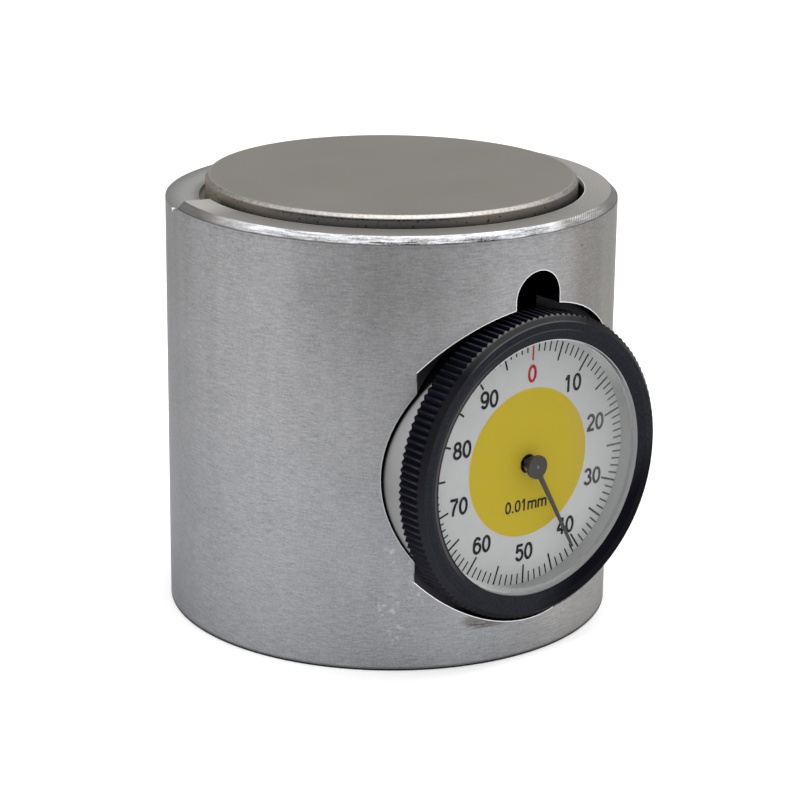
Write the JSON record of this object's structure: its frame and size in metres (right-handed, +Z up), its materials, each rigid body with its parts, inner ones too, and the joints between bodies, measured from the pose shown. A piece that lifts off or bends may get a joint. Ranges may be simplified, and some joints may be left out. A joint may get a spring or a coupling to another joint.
{
  "type": "tool setter gauge",
  "caption": "Round block with a sprung anvil on top and a dial gauge in its side, set under a cutting tool to find the tool's height.",
  "frame": {"origin": "centre of the base, on the plane it stands on", "axes": "+Z up along the body's axis to the anvil, -Y towards the dial's face, +X to the right of someone who reads the dial"},
  "size_m": [0.0516, 0.053, 0.0506],
  "materials": {
    "turned_aluminium": "fine turned, satin",
    "lapped_steel": "lapped, dull",
    "bright_steel": "ground",
    "dark_steel": "blackened",
    "spring_steel": "drawn wire",
    "satin_silver": "satin plated",
    "brass": "milled",
    "bronze": "turned",
    "black_anodised": "black, knurled edge",
    "clear_crystal": "clear",
    "white_ring": "matt white",
    "white_dial": "printed white with a yellow centre and a black scale",
    "pointer_dark": "dark, satin"
  },
  "bodies": {
    "base": {"body": "turned_aluminium", "guide_bush": "bronze", "base_plug": "dark_steel", "case_clamp_screw": "dark_steel", "return_spring": "spring_steel", "dial_case": "satin_silver", "stem": "dark_steel", "lower_guide": "bronze", "case_back": "satin_silver", "case_back_screws": "dark_steel", "bezel_holding_ring": "spring_steel", "front_plate": "brass", "front_plate_screws": "dark_steel", "bridge": "brass", "pillars": "brass", "bridge_screws": "dark_steel", "arbor_bushes": "bronze", "spring_post": "bright_steel", "lift_spring": "spring_steel", "hairspring": "spring_steel", "hairspring_stud": "brass"},
    "anvil": {"anvil": "lapped_steel", "push_pin": "bright_steel", "retaining_washer": "bright_steel", "retaining_screw": "dark_steel"},
    "spindle": {"spindle": "bright_steel", "contact_tip": "bright_steel", "cross_pin": "bright_steel"},
    "main_arbor": {"rack_pinion": "bright_steel", "main_wheel": "brass"},
    "pointer_arbor": {"centre_pinion": "bright_steel", "pointer_hub": "pointer_dark", "pointer": "pointer_dark"},
    "takeup": {"takeup_arbor": "bright_steel", "takeup_wheel": "brass", "hairspring_collet": "brass"},
    "bezel": {"bezel": "black_anodised", "crystal": "clear_crystal", "spacer_ring": "white_ring", "dial_plate": "white_dial"}
  },
  "joints": [
    {"name": "anvil_press", "type": "slide", "parent": "base", "child": "anvil", "axis": [0, 0, -1], "range_m": [0, 0.0012], "stiffness_N_per_m": 1500, "springref_m": -0.003, "deforming": ["return_spring"]},
    {"name": "spindle_slide", "type": "slide", "parent": "base", "child": "spindle", "axis": [0, 0, -1], "range_m": [0, 0.0012], "deforming": ["lift_spring"]},
    {"name": "main_arbor_turn", "type": "hinge", "parent": "base", "child": "main_arbor", "pos_m": [0.00243, -0.01955, 0.01606], "axis": [0, 1, 0], "range_deg": [-43.3, 0]},
    {"name": "pointer_turn", "type": "hinge", "parent": "base", "child": "pointer_arbor", "pos_m": [0, -0.02155, 0.0222], "axis": [0, 1, 0], "range_deg": [0, 432.5]},
    {"name": "takeup_turn", "type": "hinge", "parent": "base", "child": "takeup", "pos_m": [-0.00243, -0.02055, 0.02834], "axis": [0, 1, 0], "range_deg": [-43.3, 0]},
    {"name": "bezel_turn", "type": "hinge", "parent": "base", "child": "bezel", "pos_m": [0, -0.0254, 0.0222], "axis": [0, 1, 0], "continuous": true}
  ],
  "couplings": [
    {"joint": "spindle_slide", "follows": "anvil_press", "ratio": 1},
    {"joint": "main_arbor_turn", "follows": "anvil_press", "rad_per_m": -628.32},
    {"joint": "pointer_turn", "follows": "anvil_press", "rad_per_m": 6283.2},
    {"joint": "takeup_turn", "follows": "anvil_press", "rad_per_m": -628.32}
  ]
}
